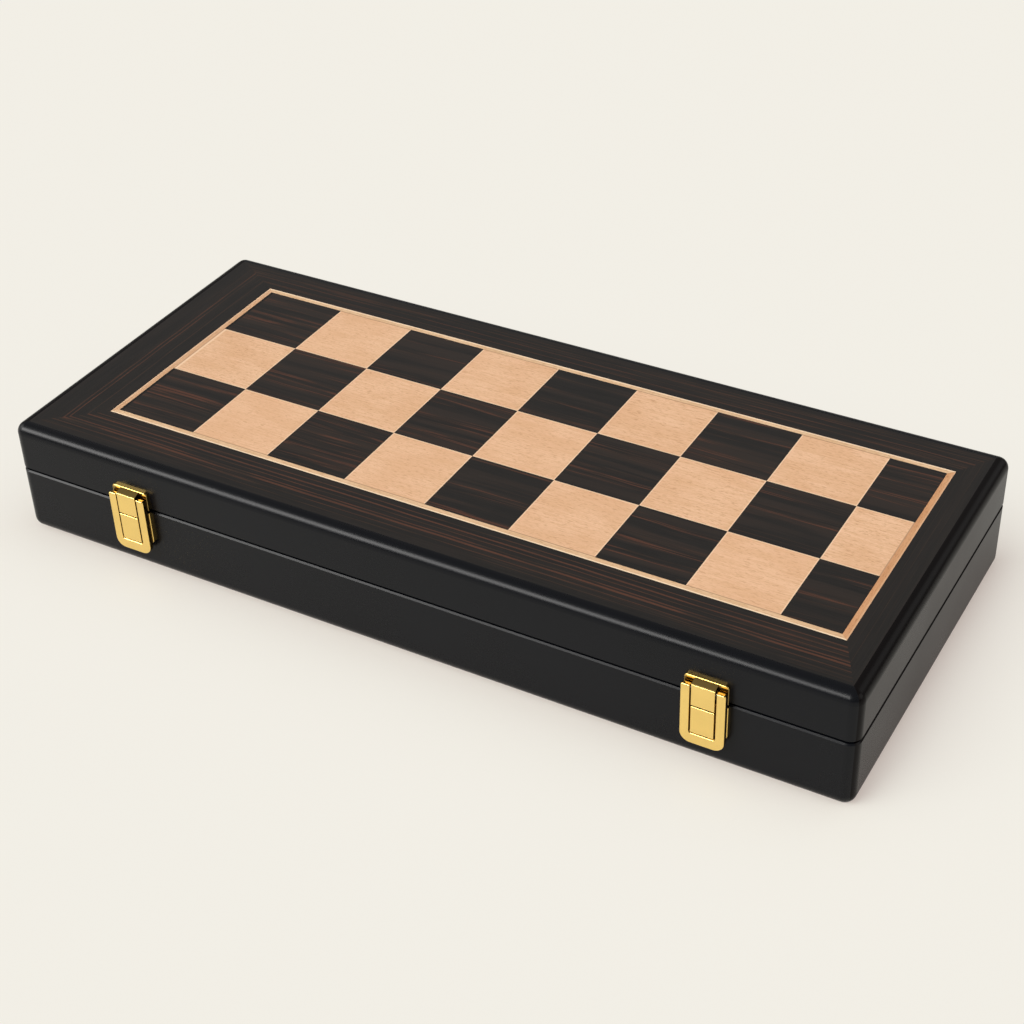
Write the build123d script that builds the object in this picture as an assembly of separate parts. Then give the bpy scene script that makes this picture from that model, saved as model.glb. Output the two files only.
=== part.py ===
from build123d import *
import os

os.makedirs("parts", exist_ok=True)

# Folding board-game case: a deep tray and a shallower lid, hinged along the
# back, closed by two brass swing latches in front.  Millimetres, +Z up, +X along
# the long side, -Y is the front (latch) side.  The origin is the centre of the
# footprint on the table.

# ------------------------------------------------------------------ dimensions
LEN = 480.0          # outside length, X
DEP = 210.0          # outside depth, Y
HGT = 67.0           # overall height closed
SEAM = 39.0          # height of the parting line
GAP = 1.1            # shadow gap between the two rims
R_EDGE = 6.0         # rounding of the long, short and upright outer edges
RIM_BEVEL = 0.75     # 45 degree bevel along the outside of both rims
WALL = 10.0          # wall thickness
LAND = 6.6           # outer part of each wall that stands beside the panel
PANEL = 6.0          # plywood panel thickness
VENEER = 0.6         # veneer and inlay thickness
FELT = 1.0           # lining thickness

# board field on the lid
PITCH = 47.68        # square size
COL0 = -195.47       # first column line
LINES_X = [-196.8] + [COL0 + PITCH * i for i in range(1, 9)] + [216.0]
LINES_Y = [74.6, 27.8, -19.85, -67.4]
INLAY = 3.4          # width of the pale strip round the field

# hinges (two butt hinges in the back rims)
HINGE_X = (-150.0, 150.0)
HINGE_LEN = 40.0
LEAF_T = 1.1
LEAF_Y0 = DEP / 2 - 8.8
KNUCKLE_R = 2.65
HINGE_Y = DEP / 2 + KNUCKLE_R
HINGE_Z = SEAM
HPIN_R = 1.2
KNUCKLE_SPLIT = 6.85  # half length of the middle knuckle, with its side gaps

# latches
LATCH_X = {"left": -162.5, "right": 167.5}
LATCH_W = 22.5
PLATE_T = 1.7
PLATE_R = 0.5        # rounding of the plates' front edges
PLATE_TOP = 50.5
CATCH_BOTTOM = 18.6
FRAME_T = 3.4
FRAME_GAP = 0.2      # between plate and swinging frame
FRAME_BOTTOM = 13.0
FRAME_BAR = 6.0
FRAME_OPEN_W = 13.4
FRAME_R = 5.5
FRAME_EDGE = 0.5     # rounding of the frame's front edges
BLOCK_W = 11.8
BLOCK_TOP = 49.6
BLOCK_FRONT = 48.3   # height of the front edge of the block's sloping top
BLOCK_LOW = 36.0
CATCH_TOP = 35.3
CATCH_LOW = 19.6
LPIN_R = 0.9

A, B = LEN / 2, DEP / 2
AI, BI = A - WALL, B - WALL
AL, BL = A - LAND, B - LAND
Y_PLATE = -B - PLATE_T
Y_FRAME_BACK = Y_PLATE - FRAME_GAP
Y_FRONT = Y_FRAME_BACK - FRAME_T
PIV_Y = (Y_FRAME_BACK + Y_FRONT) / 2
PIV_Z = 45.8


def block(x0, x1, y0, y1, z0, z1):
    return Pos((x0 + x1) / 2, (y0 + y1) / 2, (z0 + z1) / 2) * Box(x1 - x0, y1 - y0, z1 - z0)


def rod(r, length, at, direction):
    return Solid.make_cylinder(r, length, Plane(origin=at, z_dir=direction))


def save(shape, name):
    shape = shape if isinstance(shape, Compound) else Compound([s for s in shape.solids()])
    shape.label = name
    export_step(shape, "parts/%s.step" % name)
    print(name, len(shape.solids()), round(shape.volume, 1))


def prism(points, z0, z1):
    face = make_face(Polyline(*[(x, y, z0) for x, y in points], close=True))
    return extrude(face, amount=z1 - z0, dir=(0, 0, 1))


def side_prisms(z0, z1):
    # mitred quarters of the wall ring
    o, i = 1.0, WALL + 1.5
    ox, oy, ix, iy = A + o, B + o, A - i, B - i
    return {
        "front": prism([(-ox, -oy), (ox, -oy), (ix, -iy), (-ix, -iy)], z0, z1),
        "back": prism([(-ix, iy), (ix, iy), (ox, oy), (-ox, oy)], z0, z1),
        "left": prism([(-ox, -oy), (-ix, -iy), (-ix, iy), (-ox, oy)], z0, z1),
        "right": prism([(ix, -iy), (ox, -oy), (ox, oy), (ix, iy)], z0, z1),
    }


def cross_screw(x, y, z, d, head_r, shank_r, length, head_h):
    """Countersunk screw; (x, y, z) is the middle of the head face and d points out of it."""
    out = Vector(*d)
    pl = Plane(origin=(x, y, z), z_dir=d)
    p0 = Vector(x, y, z)
    head = pl * Pos(0, 0, -head_h / 2) * Cone(shank_r, head_r, head_h)
    shank = rod(shank_r, length - head_h, p0 - out * length, d)
    tip = pl * Pos(0, 0, -length - 0.6) * Cone(0.15, shank_r, 1.2)
    body = head + shank + tip
    for ang in (0, 90):
        body -= pl * Rot(0, 0, ang) * Pos(0, 0, 0) * Box(head_r * 1.15, head_r * 0.24, 0.8)
    return body


def screw_hole(x, y, z, d, head_r, shank_r, length, head_h):
    out = Vector(*d)
    pl = Plane(origin=(x, y, z), z_dir=d)
    p0 = Vector(x, y, z)
    head = pl * Pos(0, 0, -head_h / 2) * Cone(shank_r, head_r, head_h)
    return head + rod(shank_r, length + 1.4, p0 - out * (length + 1.4), d)


# ------------------------------------------------------------------ outer shells
def shell(z0, z1, rounded_at):
    s = block(-A, A, -B, B, z0, z1)
    up = s.edges().filter_by(Axis.Z)
    zsel = s.edges().filter_by_position(Axis.Z, rounded_at - 0.01, rounded_at + 0.01)
    s = fillet(list(up) + list(zsel), R_EDGE)
    rim = z1 if abs(rounded_at - z0) < 1e-6 else z0
    rim_edges = s.edges().filter_by_position(Axis.Z, rim - 0.01, rim + 0.01)
    s = chamfer(rim_edges, RIM_BEVEL)
    return s


BASE_TOP, LID_LOW = SEAM - GAP / 2, SEAM + GAP / 2
base_ring = shell(0, BASE_TOP, 0.0)
base_ring -= block(-AI, AI, -BI, BI, -1, BASE_TOP + 1)
base_ring -= block(-AL, AL, -BL, BL, -1, PANEL)
lid_ring = shell(LID_LOW, HGT, HGT)
PANEL_TOP = HGT - VENEER
PANEL_LOW = PANEL_TOP - PANEL
lid_ring -= block(-AI, AI, -BI, BI, LID_LOW - 1, HGT + 1)
lid_ring -= block(-AL, AL, -BL, BL, PANEL_LOW, HGT + 1)

# ------------------------------------------------------------------ hinges
base_leaves, lid_leaves, hinge_pins = [], [], []
base_hscrews, lid_hscrews = [], []
SCREW = dict(head_r=2.0, shank_r=1.1, length=8.0, head_h=0.9)
for hx in HINGE_X:
    h = HINGE_LEN / 2
    # base leaf and its two outer knuckles
    leaf = block(hx - h, hx + h, LEAF_Y0, HINGE_Y, BASE_TOP - LEAF_T, BASE_TOP)
    leaf -= rod(KNUCKLE_R + 0.35, 2 * KNUCKLE_SPLIT, (hx - KNUCKLE_SPLIT, HINGE_Y, HINGE_Z), (1, 0, 0))
    for x0, x1 in ((hx - h, hx - KNUCKLE_SPLIT), (hx + KNUCKLE_SPLIT, hx + h)):
        leaf += rod(KNUCKLE_R, x1 - x0, (x0, HINGE_Y, HINGE_Z), (1, 0, 0))
    leaf -= rod(HPIN_R + 0.02, HINGE_LEN + 2, (hx - h - 1, HINGE_Y, HINGE_Z), (1, 0, 0))
    # lid leaf and its middle knuckle
    k = KNUCKLE_SPLIT - 0.3
    leaf2 = block(hx - h, hx + h, LEAF_Y0, HINGE_Y, LID_LOW, LID_LOW + LEAF_T)
    for x0, x1 in ((hx - h - 1, hx - k), (hx + k, hx + h + 1)):
        leaf2 -= rod(KNUCKLE_R + 0.35, x1 - x0, (x0, HINGE_Y, HINGE_Z), (1, 0, 0))
    leaf2 += rod(KNUCKLE_R, 2 * k, (hx - k, HINGE_Y, HINGE_Z), (1, 0, 0))
    leaf2 -= rod(HPIN_R + 0.05, HINGE_LEN + 2, (hx - h - 1, HINGE_Y, HINGE_Z), (1, 0, 0))
    for sx in (-14.0, 0.0, 14.0):
        yy = B - 5.0
        base_hscrews.append(cross_screw(hx + sx, yy, BASE_TOP, (0, 0, 1), **SCREW))
        hole = screw_hole(hx + sx, yy, BASE_TOP, (0, 0, 1), **SCREW)
        leaf -= hole
        base_ring -= hole
        lid_hscrews.append(cross_screw(hx + sx, yy, LID_LOW, (0, 0, -1), **SCREW))
        hole = screw_hole(hx + sx, yy, LID_LOW, (0, 0, -1), **SCREW)
        leaf2 -= hole
        lid_ring -= hole
    base_leaves.append(leaf)
    lid_leaves.append(leaf2)
    hinge_pins.append(rod(HPIN_R, HINGE_LEN + 0.8, (hx - h - 0.4, HINGE_Y, HINGE_Z), (1, 0, 0)))
    # mortises in the two back rims
    base_ring -= block(hx - h, hx + h, LEAF_Y0, B + 1, BASE_TOP - LEAF_T, BASE_TOP + 1)
    lid_ring -= block(hx - h, hx + h, LEAF_Y0, B + 1, LID_LOW - 1, LID_LOW + LEAF_T)

# ------------------------------------------------------------------ latches
LSCREW = dict(head_r=1.7, shank_r=0.9, length=7.5, head_h=0.8)
latch = {}
lid_lscrews, base_lscrews = [], []
for side, lx in LATCH_X.items():
    w = LATCH_W / 2
    # plate on the lid, two rounded top corners and a fine bevel along the top
    plate = block(lx - w, lx + w, Y_PLATE, -B, LID_LOW + 0.2, PLATE_TOP)
    top_corners = [e for e in plate.edges().filter_by(Axis.Y) if e.center().Z > PLATE_TOP - 0.1]
    plate = fillet(top_corners, 2.0)
    plate = fillet(plate.faces().sort_by(Axis.Y)[0].edges(), PLATE_R)
    # plate on the base
    catch = block(lx - w, lx + w, Y_PLATE, -B, CATCH_BOTTOM, BASE_TOP - 0.2)
    low_corners = [e for e in catch.edges().filter_by(Axis.Y) if e.center().Z < CATCH_BOTTOM + 0.1]
    catch = fillet(low_corners, 2.0)
    catch = fillet(catch.faces().sort_by(Axis.Y)[0].edges(), PLATE_R)
    # hinge block on the lid plate, hanging past the seam just clear of the lower plate
    over = 0.3
    prof = [(Y_PLATE, LID_LOW + 0.2), (Y_PLATE - over, LID_LOW + 0.2), (Y_PLATE - over, BLOCK_LOW),
            (Y_FRONT, BLOCK_LOW), (Y_FRONT, BLOCK_FRONT), (Y_PLATE, BLOCK_TOP)]
    fp = make_face(Polyline(*[(lx - BLOCK_W / 2, y, z) for y, z in prof], close=True))
    hblock = extrude(fp, amount=BLOCK_W, dir=(1, 0, 0))
    hblock -= rod(LPIN_R, BLOCK_W + 2, (lx - BLOCK_W / 2 - 1, PIV_Y, PIV_Z), (1, 0, 0))
    hblock = fillet(hblock.faces().sort_by(Axis.Y)[0].edges(), 0.3)
    # catch block on the base plate: the frame's bar lies under it
    cblock = block(lx - BLOCK_W / 2, lx + BLOCK_W / 2, Y_FRONT, Y_PLATE, CATCH_LOW, CATCH_TOP)
    cblock = fillet(cblock.faces().sort_by(Axis.Y)[0].edges(), 0.35)
    # swinging frame: a U open at the top; the arms' back corners are round about the pivot,
    # and their squarer front corners meet the plate when the frame stands open
    frame = block(lx - w, lx + w, Y_FRONT, Y_FRAME_BACK, FRAME_BOTTOM, PIV_Z + FRAME_T / 2)
    heel = [e for e in frame.edges().filter_by(Axis.X) if e.center().Z > PIV_Z]
    frame = fillet([e for e in heel if e.center().Y > PIV_Y], FRAME_T / 2 - 0.02)
    frame -= block(lx - FRAME_OPEN_W / 2, lx + FRAME_OPEN_W / 2, Y_FRONT - 1, Y_FRAME_BACK + 1,
                   FRAME_BOTTOM + FRAME_BAR, PIV_Z + 10)
    outer = [e for e in frame.edges().filter_by(Axis.Y)
             if e.center().Z < FRAME_BOTTOM + 0.1 and abs(abs(e.center().X - lx) - w) < 0.1]
    frame = fillet(outer, FRAME_R)
    inner = [e for e in frame.edges().filter_by(Axis.Y)
             if abs(e.center().Z - FRAME_BOTTOM - FRAME_BAR) < 0.1 and abs(e.center().X - lx) < w - 1]
    frame = fillet(inner, 1.0)
    # outer top corners of the arms, then all the front edges
    tops = [e for e in frame.edges().filter_by(Axis.Y)
            if e.center().Z > PIV_Z and abs(abs(e.center().X - lx) - w) < 0.1]
    frame = fillet(tops, 1.1)
    frame = fillet(frame.faces().sort_by(Axis.Y)[0].edges(), FRAME_EDGE)
    # trunnion holes, blind towards the outer faces
    frame -= rod(LPIN_R + 0.05, 20.3, (lx - 10.15, PIV_Y, PIV_Z), (1, 0, 0))
    pin = rod(LPIN_R, 19.9, (lx - 9.95, PIV_Y, PIV_Z), (1, 0, 0))
    for s in (-1, 1):
        xx = lx + s * 8.9
        lid_lscrews.append(cross_screw(xx, Y_PLATE, 42.6, (0, -1, 0), **LSCREW))
        hole = screw_hole(xx, Y_PLATE, 42.6, (0, -1, 0), **LSCREW)
        plate -= hole
        lid_ring -= hole
        base_lscrews.append(cross_screw(xx, Y_PLATE, 30.0, (0, -1, 0), **LSCREW))
        hole = screw_hole(xx, Y_PLATE, 30.0, (0, -1, 0), **LSCREW)
        catch -= hole
        base_ring -= hole
    latch[side] = (plate, catch, hblock, cblock, frame, pin)

# ------------------------------------------------------------------ write walls
for side, cut in side_prisms(-1, HGT + 1).items():
    save(base_ring & cut, "base_%s_wall" % side)
    save(lid_ring & cut, "lid_%s_wall" % side)

save(block(-AL, AL, -BL, BL, 0, PANEL), "base_bottom_panel")
save(block(-AI, AI, -BI, BI, PANEL, PANEL + FELT), "base_felt_lining")
save(block(-AL, AL, -BL, BL, PANEL_LOW, PANEL_TOP), "lid_top_panel")
save(block(-AI, AI, -BI, BI, PANEL_LOW - FELT, PANEL_LOW), "lid_felt_lining")

# ------------------------------------------------------------------ marquetry
fx0, fx1 = LINES_X[0], LINES_X[-1]
fy1, fy0 = LINES_Y[0], LINES_Y[-1]
ix0, ix1, iy0, iy1 = fx0 - INLAY, fx1 + INLAY, fy0 - INLAY, fy1 + INLAY


def mitred(o, i):
    (ox0, ox1, oy0, oy1), (nx0, nx1, ny0, ny1) = o, i
    return {
        "front": [(ox0, oy0), (ox1, oy0), (nx1, ny0), (nx0, ny0)],
        "back": [(nx0, ny1), (nx1, ny1), (ox1, oy1), (ox0, oy1)],
        "left": [(ox0, oy0), (nx0, ny0), (nx0, ny1), (ox0, oy1)],
        "right": [(nx1, ny0), (ox1, oy0), (ox1, oy1), (nx1, ny1)],
    }


for side, pts in mitred((-AL, AL, -BL, BL), (ix0, ix1, iy0, iy1)).items():
    save(prism(pts, PANEL_TOP, HGT), "lid_border_%s" % side)
for side, pts in mitred((ix0, ix1, iy0, iy1), (fx0, fx1, fy0, fy1)).items():
    save(prism(pts, PANEL_TOP, HGT), "lid_inlay_%s" % side)
dark, light = [], []
for c in range(len(LINES_X) - 1):
    for r in range(len(LINES_Y) - 1):
        tile = block(LINES_X[c], LINES_X[c + 1], LINES_Y[r + 1], LINES_Y[r], PANEL_TOP, HGT)
        (dark if (c + r) % 2 == 0 else light).append(tile)
save(Compound([s for t in dark for s in t.solids()]), "lid_dark_squares")
save(Compound([s for t in light for s in t.solids()]), "lid_light_squares")


def group(shapes, name):
    save(Compound([s for t in shapes for s in t.solids()]), name)


group(base_leaves, "hinge_base_leaves")
group(lid_leaves, "hinge_lid_leaves")
group(hinge_pins, "hinge_pins")
group(base_hscrews, "hinge_base_screws")
group(lid_hscrews, "hinge_lid_screws")
group(lid_lscrews, "latch_plate_screws")
group(base_lscrews, "latch_catch_screws")
for side, (plate, catch, hblock, cblock, frame, pin) in latch.items():
    save(plate, "latch_plate_%s" % side)
    save(catch, "latch_catch_plate_%s" % side)
    save(hblock, "latch_hinge_block_%s" % side)
    save(cblock, "latch_catch_block_%s" % side)
    save(frame, "latch_frame_%s" % side)
    save(pin, "latch_pin_%s" % side)
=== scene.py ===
import bpy, bmesh, math
from mathutils import Matrix, Vector

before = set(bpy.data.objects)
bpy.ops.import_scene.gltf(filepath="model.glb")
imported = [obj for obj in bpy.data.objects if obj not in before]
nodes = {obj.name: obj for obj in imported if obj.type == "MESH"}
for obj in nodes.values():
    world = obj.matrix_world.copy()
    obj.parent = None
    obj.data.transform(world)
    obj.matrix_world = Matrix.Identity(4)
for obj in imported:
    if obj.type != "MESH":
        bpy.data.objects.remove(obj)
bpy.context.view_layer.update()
scene = bpy.context.scene

# ------------------------------------------------------------------ node helpers
class Tree:
    """Short-hand for building a material's node tree."""

    def __init__(self, name):
        self.mat = bpy.data.materials.new(name)
        self.mat.use_nodes = True
        self.t = self.mat.node_tree
        self.t.nodes.clear()
        self.out = self.t.nodes.new("ShaderNodeOutputMaterial")
        self.bsdf = self.t.nodes.new("ShaderNodeBsdfPrincipled")
        self.link(self.bsdf.outputs[0], self.out.inputs[0])
        self.co = self.t.nodes.new("ShaderNodeTexCoord").outputs["Object"]

    def link(self, a, b):
        self.t.links.new(a, b)

    def put(self, socket, value):
        if isinstance(value, bpy.types.NodeSocket):
            self.link(value, socket)
        elif value is not None:
            socket.default_value = value

    def math(self, op, a, b=None, c=None, clamp=False):
        n = self.t.nodes.new("ShaderNodeMath")
        n.operation = op
        n.use_clamp = clamp
        for s, v in zip(n.inputs, (a, b, c)):
            self.put(s, v)
        return n.outputs[0]

    def vmath(self, op, a, b=None):
        n = self.t.nodes.new("ShaderNodeVectorMath")
        n.operation = op
        self.put(n.inputs[0], a)
        if op == "SCALE":
            self.put(n.inputs["Scale"], b)
        elif b is not None:
            self.put(n.inputs[1], b)
        return n.outputs[0]

    def split(self, v):
        n = self.t.nodes.new("ShaderNodeSeparateXYZ")
        self.put(n.inputs[0], v)
        return n.outputs

    def vec(self, x, y, z):
        n = self.t.nodes.new("ShaderNodeCombineXYZ")
        for s, v in zip(n.inputs, (x, y, z)):
            self.put(s, v)
        return n.outputs[0]

    def noise(self, vector, scale, detail=2.0, rough=0.5, distortion=0.0):
        n = self.t.nodes.new("ShaderNodeTexNoise")
        self.put(n.inputs["Vector"], vector)
        n.inputs["Scale"].default_value = scale
        n.inputs["Detail"].default_value = detail
        n.inputs["Roughness"].default_value = rough
        n.inputs["Distortion"].default_value = distortion
        return n.outputs[0]

    def white(self, vector):
        n = self.t.nodes.new("ShaderNodeTexWhiteNoise")
        n.noise_dimensions = "3D"
        self.put(n.inputs["Vector"], vector)
        return n.outputs

    def ramp(self, fac, stops, mode="LINEAR"):
        n = self.t.nodes.new("ShaderNodeValToRGB")
        n.color_ramp.interpolation = mode
        els = n.color_ramp.elements
        while len(els) > 1:
            els.remove(els[-1])
        els[0].position, els[0].color = stops[0][0], col(stops[0][1])
        for p, c in stops[1:]:
            els.new(p).color = col(c)
        self.put(n.inputs[0], fac)
        return n.outputs[0]

    def smooth(self, x, lo, hi, a=0.0, b=1.0):
        n = self.t.nodes.new("ShaderNodeMapRange")
        n.interpolation_type = "SMOOTHSTEP"
        self.put(n.inputs["Value"], x)
        self.put(n.inputs["From Min"], lo)
        self.put(n.inputs["From Max"], hi)
        n.inputs["To Min"].default_value = a
        n.inputs["To Max"].default_value = b
        return n.outputs[0]

    def lerp(self, x, lo, hi, a, b):
        n = self.t.nodes.new("ShaderNodeMapRange")
        self.put(n.inputs["Value"], x)
        n.inputs["From Min"].default_value = lo
        n.inputs["From Max"].default_value = hi
        n.inputs["To Min"].default_value = a
        n.inputs["To Max"].default_value = b
        return n.outputs[0]

    def mix(self, fac, a, b, mode="MIX"):
        n = self.t.nodes.new("ShaderNodeMix")
        n.data_type = "RGBA"
        n.blend_type = mode
        self.put(n.inputs["Factor"], fac)
        self.put(n.inputs["A"], col(a) if isinstance(a, (tuple, str)) else a)
        self.put(n.inputs["B"], col(b) if isinstance(b, (tuple, str)) else b)
        for s in n.inputs:
            if s.type == "RGBA" and s.name in "AB" and not s.is_linked:
                pass
        return n.outputs["Result"]

    def bump(self, height, strength, distance, normal=None):
        n = self.t.nodes.new("ShaderNodeBump")
        n.inputs["Strength"].default_value = strength
        n.inputs["Distance"].default_value = distance
        self.put(n.inputs["Height"], height)
        if normal is not None:
            self.put(n.inputs["Normal"], normal)
        return n.outputs[0]

    def finish(self, color=None, rough=None, normal=None, **fixed):
        self.put(self.bsdf.inputs["Base Color"], color)
        self.put(self.bsdf.inputs["Roughness"], rough)
        if normal is not None:
            self.put(self.bsdf.inputs["Normal"], normal)
        for k, v in fixed.items():
            self.bsdf.inputs[k.replace("_", " ")].default_value = v
        return self.mat


def lin(c):
    return c / 12.92 if c <= 0.04045 else ((c + 0.055) / 1.055) ** 2.4


def col(c):
    """'#rrggbb' or a linear triple, as four linear numbers."""
    if isinstance(c, str):
        c = c.lstrip("#")
        return tuple(lin(int(c[i:i + 2], 16) / 255) for i in (0, 2, 4)) + (1.0,)
    return tuple(c) + (1.0,) if len(c) == 3 else tuple(c)


MM = 0.001
PITCH, COL0, ROW0 = 47.68, -195.47, 75.51
X_LINES = (-196.8, 216.0)
Y_LINES = (-67.4, 74.6)
X_OUTER = (-200.2, 219.4)
Y_OUTER = (-70.8, 78.0)


def cell(t):
    """Column and row of the square a point lies in, and its distance in mm from the square's edge."""
    x, y, _ = t.split(t.co)
    xm, ym = t.math("MULTIPLY", x, 1000.0), t.math("MULTIPLY", y, 1000.0)
    u = t.math("DIVIDE", t.math("SUBTRACT", xm, COL0), PITCH)
    v = t.math("DIVIDE", t.math("SUBTRACT", ROW0, ym), PITCH)
    cu = t.math("MINIMUM", t.math("MAXIMUM", t.math("FLOOR", u), 0.0), 8.0)
    cv = t.math("MINIMUM", t.math("MAXIMUM", t.math("FLOOR", v), 0.0), 2.0)
    fu, fv = t.math("SUBTRACT", u, cu), t.math("SUBTRACT", v, cv)
    dx = t.math("MINIMUM", fu, t.math("SUBTRACT", 1.0, fu))
    dy = t.math("MINIMUM", fv, t.math("SUBTRACT", 1.0, fv))
    edge_r = t.math("DIVIDE", t.math("SUBTRACT", X_LINES[1], xm), PITCH)
    dx = t.math("MINIMUM", dx, edge_r)
    d = t.math("MULTIPLY", t.math("MINIMUM", dx, dy), PITCH)
    return cu, cv, d


def streaks(t, along, across, seed, strength=1.0, veins=(), sway=6.0):
    """Colour and height of streaked dark ebony veneer. along and across are in mm, seed a vector."""
    # slow wander of the growth lines
    wander = t.noise(t.vmath("ADD", t.vec(t.math("MULTIPLY", along, 0.011), t.math("MULTIPLY", across, 0.02), 0.0), seed), 1.0, 2.0, 0.5)
    acr = t.math("ADD", across, t.math("MULTIPLY", t.math("SUBTRACT", wander, 0.5), sway))
    def band(freq, stretch, detail, rough, k):
        p = t.vec(t.math("MULTIPLY", along, stretch), t.math("MULTIPLY", acr, freq), k)
        return t.noise(t.vmath("ADD", p, seed), 1.0, detail, rough)
    wide = band(0.11, 0.0035, 2.0, 0.55, 3.1)
    mid = band(0.42, 0.007, 3.0, 0.6, 11.7)
    fine = band(1.9, 0.016, 3.0, 0.6, 23.9)
    hair = band(7.5, 0.045, 2.0, 0.6, 41.3)
    fade = band(0.30, 0.022, 1.0, 0.5, 57.0)
    soft = band(0.16, 0.006, 2.0, 0.5, 71.0)
    # zones where the brown heartwood lines gather
    zone = t.smooth(wide, 0.44, 0.58)
    thick = t.smooth(mid, 0.47, 0.60)
    line = t.smooth(fine, 0.43, 0.57)
    brown = t.math("MULTIPLY", t.math("ADD", t.math("MULTIPLY", zone, 0.40), t.math("MULTIPLY", thick, 0.75)), t.math("ADD", t.math("MULTIPLY", line, 0.72), 0.28))
    brown = t.math("MULTIPLY", brown, t.smooth(wide, 0.34, 0.50, 0.30, 1.0))
    brown = t.math("MULTIPLY", brown, t.smooth(fade, 0.38, 0.56, 0.50, 1.0))
    brown = t.math("MULTIPLY", brown, strength, clamp=True)
    # single long veins at a given distance across
    for at, width, gain in veins:
        off = t.math("ABSOLUTE", t.math("SUBTRACT", acr, at))
        v = t.math("MULTIPLY", t.smooth(off, width * 0.25, width, 1.0, 0.0), t.smooth(fade, 0.30, 0.52, 0.55 * gain, gain))
        brown = t.math("MAXIMUM", brown, t.math("MULTIPLY", v, t.smooth(hair, 0.25, 0.6, 0.7, 1.0)))
    base = t.mix(t.smooth(hair, 0.38, 0.62), (0.0098, 0.0090, 0.0086), (0.0190, 0.0166, 0.0150))
    warm = t.mix(t.smooth(hair, 0.40, 0.60), (0.0260, 0.0172, 0.0134), (0.0420, 0.0256, 0.0184))
    hot = t.mix(t.smooth(hair, 0.38, 0.62), (0.066, 0.0275, 0.0180), (0.094, 0.0375, 0.0232))
    # broad soft bands of paler wood under the lines
    base = t.mix(t.smooth(soft, 0.44, 0.62, 0.0, 0.20 if veins else 0.70), base, (0.0285, 0.0208, 0.0172))
    c = t.mix(t.smooth(brown, 0.15, 0.55), base, warm)
    c = t.mix(t.smooth(brown, 0.50, 0.95), c, hot)
    height = t.math("ADD", t.math("MULTIPLY", hair, 0.6), t.math("MULTIPLY", fine, 0.4))
    return c, height, hair


def ebony_squares():
    t = Tree("ebony_squares")
    cu, cv, d = cell(t)
    x, y, _ = t.split(t.co)
    seed = t.vec(t.math("MULTIPLY", cu, 7.31), t.math("MULTIPLY", cv, 13.17), t.math("ADD", t.math("MULTIPLY", cu, 3.7), t.math("MULTIPLY", cv, 5.9)))
    c, h, hair = streaks(t, t.math("MULTIPLY", x, 1000.0), t.math("MULTIPLY", y, 1000.0), seed, 1.02)
    c = t.mix(t.smooth(d, 0.10, 0.45), (0.008, 0.007, 0.0065), c)
    rough = t.lerp(hair, 0.3, 0.7, 0.36, 0.46)
    return t.finish(c, rough, t.bump(h, 0.10, 0.0002), IOR=1.27)


def ebony_border(name, side):
    """Grain along the strip; the same lines run on round the mitred corners."""
    t = Tree(name)
    x, y, _ = t.split(t.co)
    xm, ym = t.math("MULTIPLY", x, 1000.0), t.math("MULTIPLY", y, 1000.0)
    outer = {"front": (ym, -98.4, -70.8), "back": (ym, 98.4, 78.0), "left": (xm, -233.4, -200.2), "right": (xm, 233.4, 219.4)}[side]
    a, o, i = outer
    s = t.math("DIVIDE", t.math("SUBTRACT", a, o), i - o)
    along = xm if side in ("front", "back") else ym
    width = abs(i - o)
    # the distance across is stretched to one common width, so lines meet at the mitres
    across = t.math("MULTIPLY", s, 27.0)
    strength = {"front": 0.50, "back": 0.66, "left": 0.38, "right": 0.25}[side]
    veins = {"front": ((4.5, 0.55, 0.55), (8.0, 0.6, 0.75), (11.6, 1.1, 1.0), (13.6, 0.65, 0.95), (16.8, 0.6, 0.80), (19.6, 0.8, 1.0), (22.8, 0.6, 0.80)),
             "left": ((11.6, 0.6, 0.80), (13.6, 0.5, 0.95), (19.6, 0.45, 0.55)),
             "back": ((4.5, 0.6, 0.60), (8.0, 0.6, 0.70), (13.6, 0.7, 0.85), (19.6, 0.6, 0.75)),
             "right": ((8.0, 0.5, 0.40), (13.6, 0.5, 0.55), (19.6, 0.45, 0.40))}[side]
    c, h, hair = streaks(t, along, across, (17.0, 5.3, 2.0), strength, veins, 2.0)
    rough = t.lerp(hair, 0.3, 0.7, 0.36, 0.46)
    return t.finish(c, rough, t.bump(h, 0.10, 0.0002), IOR=1.27)


def nearest(t, v, lines):
    """Distance from v to the nearer of two lines."""
    return t.math("MINIMUM", *(t.math("ABSOLUTE", t.math("SUBTRACT", v, line)) for line in lines))


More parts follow.
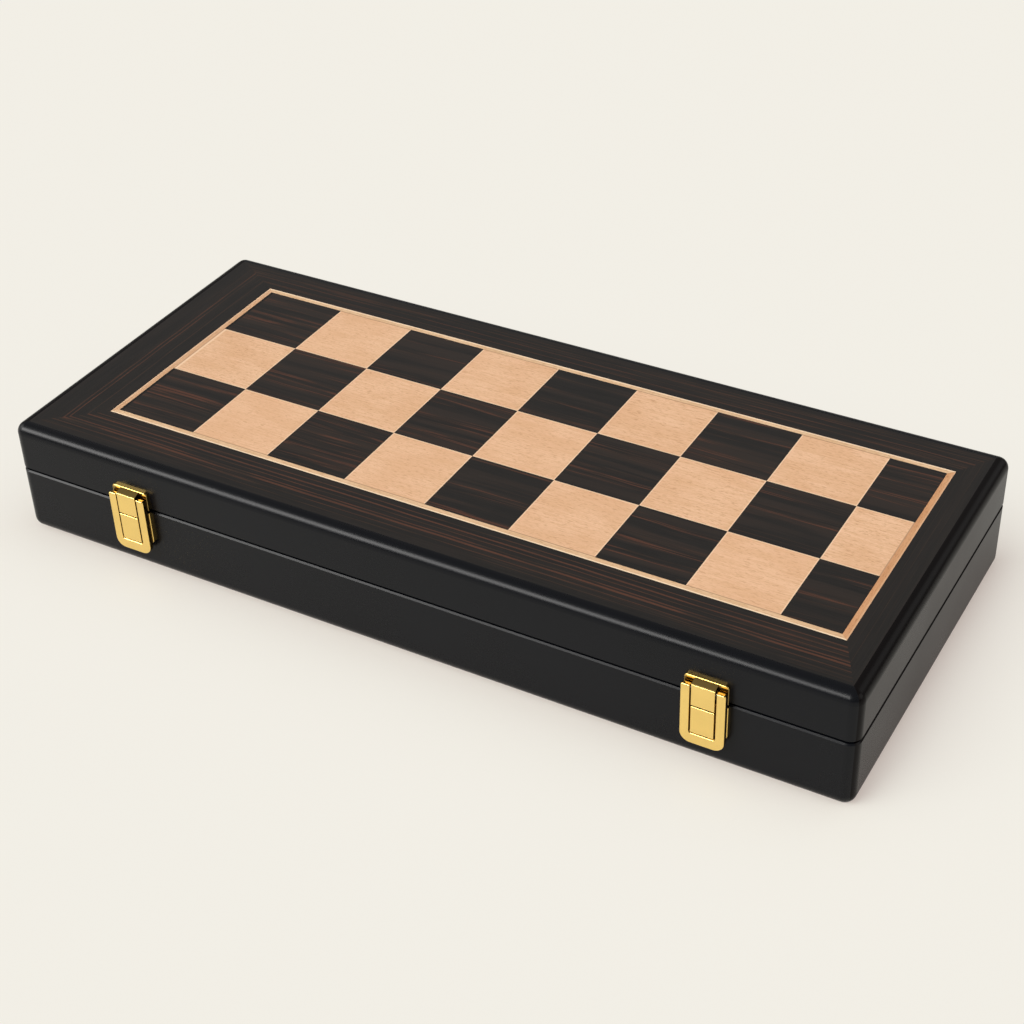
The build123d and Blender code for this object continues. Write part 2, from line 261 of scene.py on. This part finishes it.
def maple(name, squares, along_x=True, tint=(1.0, 1.0, 1.0), edge=0.0):
    t = Tree(name)
    x, y, _ = t.split(t.co)
    rx, ry = t.math("MULTIPLY", x, 1000.0), t.math("MULTIPLY", y, 1000.0)
    xm, ym = (rx, ry) if along_x else (ry, rx)

    def tone(r, g, b):
        return (r * tint[0], g * tint[1], b * tint[2])
    if squares:
        cu, cv, d = cell(t)
        seed = t.vec(t.math("MULTIPLY", cu, 5.13), t.math("MULTIPLY", cv, 9.77), t.math("ADD", t.math("MULTIPLY", cu, 2.9), t.math("MULTIPLY", cv, 8.1)))
        own = t.white(t.vec(cu, cv, 0.5))[0]
    else:
        seed, own, d = (3.0, 8.0, 1.0), 0.5, None
    def band(ax, ay, detail, rough, k):
        return t.noise(t.vmath("ADD", t.vec(t.math("MULTIPLY", xm, ax), t.math("MULTIPLY", ym, ay), k), seed), 1.0, detail, rough)
    grain = band(0.05, 1.1, 3.0, 0.6, 1.0)
    cloud = band(0.035, 0.06, 3.0, 0.55, 7.0)
    pores = band(0.55, 3.6, 2.0, 0.55, 13.0)
    flecks = band(0.30, 1.7, 1.0, 0.5, 29.0)
    c = t.mix(t.smooth(cloud, 0.38, 0.62), tone(0.745, 0.455, 0.268), tone(0.810, 0.520, 0.325))
    c = t.mix(t.smooth(grain, 0.42, 0.60, 0.0, 0.55), c, tone(0.690, 0.395, 0.215))
    c = t.mix(t.smooth(pores, 0.54, 0.66, 0.0, 0.50), c, tone(0.56, 0.290, 0.140))
    c = t.mix(t.smooth(flecks, 0.59, 0.68, 0.0, 0.60), c, tone(0.50, 0.245, 0.115))
    if squares:
        c = t.mix(t.lerp(own, 0.0, 1.0, 0.0, 0.25), c, tone(0.790, 0.475, 0.285))
        c = t.mix(t.smooth(d, 0.30, 0.85, 0.75, 0.0), c, tone(0.880, 0.640, 0.430))
        # thin glue line where the field meets the strip round it
        c = t.mix(t.smooth(t.math("MINIMUM", nearest(t, ry, Y_LINES), nearest(t, rx, X_LINES)), 0.30, 0.80, 0.80, 0.0), c, (0.34, 0.165, 0.080))
    elif edge:
        # painted highlight: a pale line along the strip's outer edge
        c = t.mix(t.smooth(t.math("MINIMUM", nearest(t, ry, Y_OUTER), nearest(t, rx, X_OUTER)), 0.45, 1.10, edge, 0.0), c, (0.880, 0.680, 0.480))
    h = t.math("ADD", t.math("MULTIPLY", grain, 0.5), t.math("MULTIPLY", pores, -0.5))
    rough = t.lerp(grain, 0.3, 0.7, 0.38, 0.48)
    return t.finish(c, rough, t.bump(h, 0.08, 0.0002), IOR=1.38)


def lacquer(name, tone=(0.0042, 0.0041, 0.0042), rough=0.30, ior=1.46):
    t = Tree(name)
    peel = t.noise(t.co, 190.0, 2.0, 0.5)
    film = t.noise(t.co, 14.0, 3.0, 0.55)
    dust = t.noise(t.co, 1400.0, 1.0, 0.5)
    c = t.mix(t.smooth(film, 0.3, 0.7), tone, tuple(v * 1.22 for v in tone))
    r = t.math("ADD", t.lerp(film, 0.3, 0.7, rough - 0.025, rough + 0.025), t.lerp(dust, 0.35, 0.65, -0.01, 0.01))
    return t.finish(c, r, t.bump(peel, 0.012, 0.0003), IOR=ior)


def brass(name, tone=(0.99, 0.700, 0.230), rough=0.13, painted_shade_recess=None, dark=(0.135, 0.092, 0.032)):
    t = Tree(name)
    film = t.noise(t.co, 60.0, 3.0, 0.55)
    pit = t.noise(t.co, 900.0, 2.0, 0.5)
    c = t.mix(t.smooth(film, 0.3, 0.7), tone, tuple(v * 0.93 for v in col(tone)[:3]))
    if painted_shade_recess:
        # painted shade: the brass is darkened behind the front faces and, on the plates, behind the arms, where
        # shade falls
        axis, lo, hi, at_lo, at_hi = painted_shade_recess
        along = t.math("MULTIPLY", t.split(t.co)[axis], 1000.0)
        c = t.mix(t.smooth(along, lo, hi, at_lo, at_hi), c, dark)
    r = t.lerp(film, 0.3, 0.7, rough - 0.04, rough + 0.05)
    return t.finish(c, r, t.bump(pit, 0.05, 0.00008), Metallic=1.0)


def felt(name):
    t = Tree(name)
    fuzz = t.noise(t.co, 1300.0, 4.0, 0.65)
    clump = t.noise(t.co, 320.0, 3.0, 0.6)
    patch = t.noise(t.co, 22.0, 3.0, 0.55)
    c = t.mix(t.smooth(fuzz, 0.36, 0.64), (0.0060, 0.0060, 0.0066), (0.0230, 0.0230, 0.0245))
    c = t.mix(t.smooth(clump, 0.42, 0.62, 0.0, 0.45), c, (0.0090, 0.0090, 0.0098))
    c = t.mix(t.smooth(patch, 0.40, 0.62, 0.0, 0.35), c, (0.0200, 0.0200, 0.0212))
    h = t.math("ADD", t.math("MULTIPLY", fuzz, 0.6), t.math("MULTIPLY", clump, 0.4))
    return t.finish(c, 0.95, t.bump(h, 0.7, 0.0006), **{"Sheen_Weight": 0.07, "Sheen_Roughness": 0.4})


def plywood(name):
    t = Tree(name)
    x, y, z = t.split(t.co)
    g = t.noise(t.vec(t.math("MULTIPLY", x, 20.0), t.math("MULTIPLY", y, 700.0), t.math("MULTIPLY", z, 700.0)), 1.0, 4.0, 0.6)
    ply = t.math("FRACT", t.math("MULTIPLY", z, 500.0))
    c = t.mix(t.smooth(g, 0.3, 0.7), (0.50, 0.33, 0.18), (0.66, 0.47, 0.28))
    c = t.mix(t.smooth(ply, 0.45, 0.55, 0.0, 0.35), c, (0.34, 0.20, 0.10))
    return t.finish(c, 0.6, t.bump(g, 0.1, 0.0003))


M = {
    # two copies of one black lacquer, set apart to match how light falls on each side: the long walls' copy is
    # tinted cool against the warm floor they reflect, and the end walls' copy is warmer and reflects less, a
    # painted shade on the ends
    "lacquer": lacquer("black_lacquer_long", (0.0019, 0.0023, 0.0036), 0.28, 1.27),
    "lacquer_end": lacquer("black_lacquer_end", (0.0030, 0.0022, 0.0022), 0.28, 1.16),
    "panel": lacquer("black_panel", (0.008, 0.0078, 0.008), 0.38),
    "ebony": ebony_squares(),
    "maple": maple("maple_squares", True, True, (0.935, 0.935, 0.935)),
    "inlay_x": maple("maple_inlay_x", False, True, (0.885, 0.955, 0.945), 0.85),
    "inlay_left": maple("maple_inlay_left", False, False, (0.79, 0.76, 0.72), 0.30),
    "inlay_right": maple("maple_inlay_right", False, False, (0.745, 0.625, 0.505), 0.20),
    # painted shade on the latch brass behind the frame's front face, and on the plate below the tops of the arms
    "brass": brass("latch_brass", painted_shade_recess=(1, -110.15, -109.4, 0.0, 0.88), dark=(0.225, 0.146, 0.046)),
    "plate": brass("latch_plate_brass", (0.93, 0.640, 0.190), 0.17, (2, 48.6, 50.2, 0.85, 0.0)),
    "catch": brass("latch_catch_brass", (0.93, 0.640, 0.190), 0.17),
    "hinge": brass("hinge_brass", "#c9a052", 0.34),
    "screw": brass("screw_brass", "#d2a95c", 0.30),
    "steel": brass("pin_steel", "#767069", 0.38),
    "felt": felt("felt"),
    "ply": plywood("plywood"),
}
for s in ("front", "back", "left", "right"):
    M["border_" + s] = ebony_border("ebony_border_" + s, s)


def material_for(n):
    if n in ("base_felt_lining", "lid_felt_lining"):
        return M["felt"]
    if n.endswith(("left_wall", "right_wall")):
        return M["lacquer_end"]
    if n.endswith("_wall"):
        return M["lacquer"]
    if n == "base_bottom_panel":
        return M["panel"]
    if n == "lid_top_panel":
        return M["ply"]
    if n.startswith("lid_border_"):
        return M["border_" + n.split("_")[-1]]
    if n == "lid_dark_squares":
        return M["ebony"]
    if n == "lid_light_squares":
        return M["maple"]
    if n in ("lid_inlay_front", "lid_inlay_back"):
        return M["inlay_x"]
    if n.startswith("lid_inlay"):
        return M["inlay_left" if n.endswith("left") else "inlay_right"]
    if "screws" in n:
        return M["screw"]
    if n.startswith("hinge_"):
        return M["hinge"]
    if "latch_pin" in n:
        return M["steel"]
    if n.startswith("latch_catch_plate_"):
        return M["catch"]
    if n.startswith("latch_plate_"):
        return M["plate"]
    return M["brass"]


for n, o in nodes.items():
    o.data.materials.clear()
    o.data.materials.append(material_for(n))

# ------------------------------------------------------------------ stage
PAPER_TONE = (0.888, 0.860, 0.789)   # the paper's tone in full light
PAPER_LIT = (0.720, 0.790, 0.725)    # its response to the lamps, cooler, so shadows are warm
FLOOR_LIGHT = 1.14                   # light that falls on open paper


def stage_material():
    t = Tree("floor_paper")
    t.t.nodes.remove(t.bsdf)
    grain = t.noise(t.co, 300.0, 2.0, 0.5)
    dif = t.t.nodes.new("ShaderNodeBsdfDiffuse")
    # the paper glows evenly away from the case, and takes its shadow close to it:
    # the lit share dies away with distance, and the glow makes up the rest of the paper's tone
    fx, fy, _ = t.split(t.co)
    ox = t.math("MAXIMUM", t.math("SUBTRACT", t.math("ABSOLUTE", fx), 0.240), 0.0)
    oy = t.math("MAXIMUM", t.math("SUBTRACT", t.math("ABSOLUTE", fy), 0.105), 0.0)
    away = t.math("SQRT", t.math("ADD", t.math("MULTIPLY", ox, ox), t.math("MULTIPLY", oy, oy)))
    lit = t.math("ADD", t.math("MULTIPLY", t.math("POWER", 2.71828, t.math("DIVIDE", away, -0.032)), 0.67), 0.02)
    # the shadow at the right end is a little weaker
    lit = t.math("MULTIPLY", lit, t.smooth(fx, 0.225, 0.262, 1.0, 0.63))
    c = t.mix(t.smooth(grain, 0.3, 0.7), PAPER_LIT, tuple(v * 1.006 for v in PAPER_LIT))
    t.link(t.vmath("SCALE", c, lit), dif.inputs["Color"])
    em = t.t.nodes.new("ShaderNodeEmission")
    shade = t.vmath("SCALE", PAPER_LIT, t.math("MULTIPLY", lit, FLOOR_LIGHT))
    t.link(t.vmath("SUBTRACT", PAPER_TONE, shade), em.inputs["Color"])
    em.inputs["Strength"].default_value = 1.0
    add = t.t.nodes.new("ShaderNodeAddShader")
    t.link(dif.outputs[0], add.inputs[0])
    t.link(em.outputs[0], add.inputs[1])
    t.link(add.outputs[0], t.out.inputs[0])
    return t.mat


bm = bmesh.new()
bmesh.ops.create_grid(bm, x_segments=2, y_segments=2, size=8.0)
me = bpy.data.meshes.new("floor")
bm.to_mesh(me)
bm.free()
floor = bpy.data.objects.new("floor", me)
scene.collection.objects.link(floor)
me.materials.append(stage_material())

world = bpy.data.worlds.new("studio")
scene.world = world
world.use_nodes = True
wt = world.node_tree
wt.nodes.clear()
wo = wt.nodes.new("ShaderNodeOutputWorld")
wb = wt.nodes.new("ShaderNodeBackground")
wc = wt.nodes.new("ShaderNodeTexCoord")
ws = wt.nodes.new("ShaderNodeSeparateXYZ")
wt.links.new(wc.outputs["Generated"], ws.inputs[0])


def wstep(value, lo, hi, a, b):
    n = wt.nodes.new("ShaderNodeMapRange")
    n.interpolation_type = "SMOOTHSTEP"
    wt.links.new(value, n.inputs["Value"])
    for k, v in (("From Min", lo), ("From Max", hi), ("To Min", a), ("To Max", b)):
        n.inputs[k].default_value = v
    return n.outputs[0]


def wcombine(op, a, b):
    n = wt.nodes.new("ShaderNodeMath")
    n.operation = op
    wt.links.new(a, n.inputs[0])
    wt.links.new(b, n.inputs[1])
    return n.outputs[0]


def panel_light(direction, inner, outer, level):
    """A soft round light panel seen in one direction, radii in degrees."""
    v = Vector(direction).normalized()
    n = wt.nodes.new("ShaderNodeVectorMath")
    n.operation = "DOT_PRODUCT"
    wt.links.new(wc.outputs["Generated"], n.inputs[0])
    n.inputs[1].default_value = v
    return wstep(n.outputs["Value"], math.cos(math.radians(outer)), math.cos(math.radians(inner)), 0.0, level)


# dim room, darker at the horizon; a band of soft light from the left front and a fill from the left
sky = wstep(ws.outputs[2], 0.05, 0.45, 0.10, 0.43)
band = panel_light((-0.64, -0.57, 0.51), 9, 13, 10.8)
for direction, level in (((-0.54, -0.66, 0.52), 12.1), ((-0.43, -0.74, 0.51), 11.0), ((-0.31, -0.81, 0.50), 11.6)):
    band = wcombine("MAXIMUM", band, panel_light(direction, 9, 13, level))
for direction, inner, outer, level in (((-0.88, -0.28, 0.38), 12, 26, 1.6), ((0.88, 0.15, 0.45), 10, 24, 2.4), ((0.45, 0.73, 0.51), 8, 20, 1.0)):
    sky = wcombine("ADD", sky, panel_light(direction, inner, outer, level))
sky = wcombine("ADD", sky, band)
wb.inputs[0].default_value = (1.0, 0.985, 0.965, 1)
wt.links.new(sky, wb.inputs[1])
wt.links.new(wb.outputs[0], wo.inputs[0])


def area(name, at, target, size, power, color=(1, 1, 1)):
    d = bpy.data.lights.new(name, "AREA")
    d.shape = "RECTANGLE"
    d.size, d.size_y = size
    d.energy = power
    d.color = color
    o = bpy.data.objects.new(name, d)
    o.location = at
    o.rotation_mode = "QUATERNION"
    o.rotation_quaternion = (Vector(target) - Vector(at)).to_track_quat("-Z", "Y")
    scene.collection.objects.link(o)
    return o


area("softbox_left", (-1.8, -0.55, 1.1), (0, 0, 0.03), (0.8, 0.8), 2.5, (1.0, 0.985, 0.96))

# ------------------------------------------------------------------ camera
F_PX = 1940.190700720701
R = ((0.8716847853898757, 0.4891936251452218, -0.02924435051564553),
     (0.26648287803945414, -0.5232305369643897, -0.8094545576496346),
     (-0.4112815466704228, 0.6977961036758749, -0.5864538234704861))
C = (0.4309589348923817, -0.7210498638163169, 0.6281539614676349)
cd = bpy.data.cameras.new("camera")
cam = bpy.data.objects.new("camera", cd)
cd.sensor_width = 36.0
cd.sensor_fit = "HORIZONTAL"
cd.lens = F_PX / 1024 * 36.0
cd.clip_start, cd.clip_end = 0.02, 40.0
cam.matrix_world = Matrix(((R[0][0], -R[1][0], -R[2][0], C[0]),
                           (R[0][1], -R[1][1], -R[2][1], C[1]),
                           (R[0][2], -R[1][2], -R[2][2], C[2]),
                           (0, 0, 0, 1)))
scene.collection.objects.link(cam)
scene.camera = cam
scene.view_settings.view_transform = "Standard"
scene.view_settings.look = "None"
scene.view_settings.exposure = 0.0
scene.view_settings.gamma = 1.0
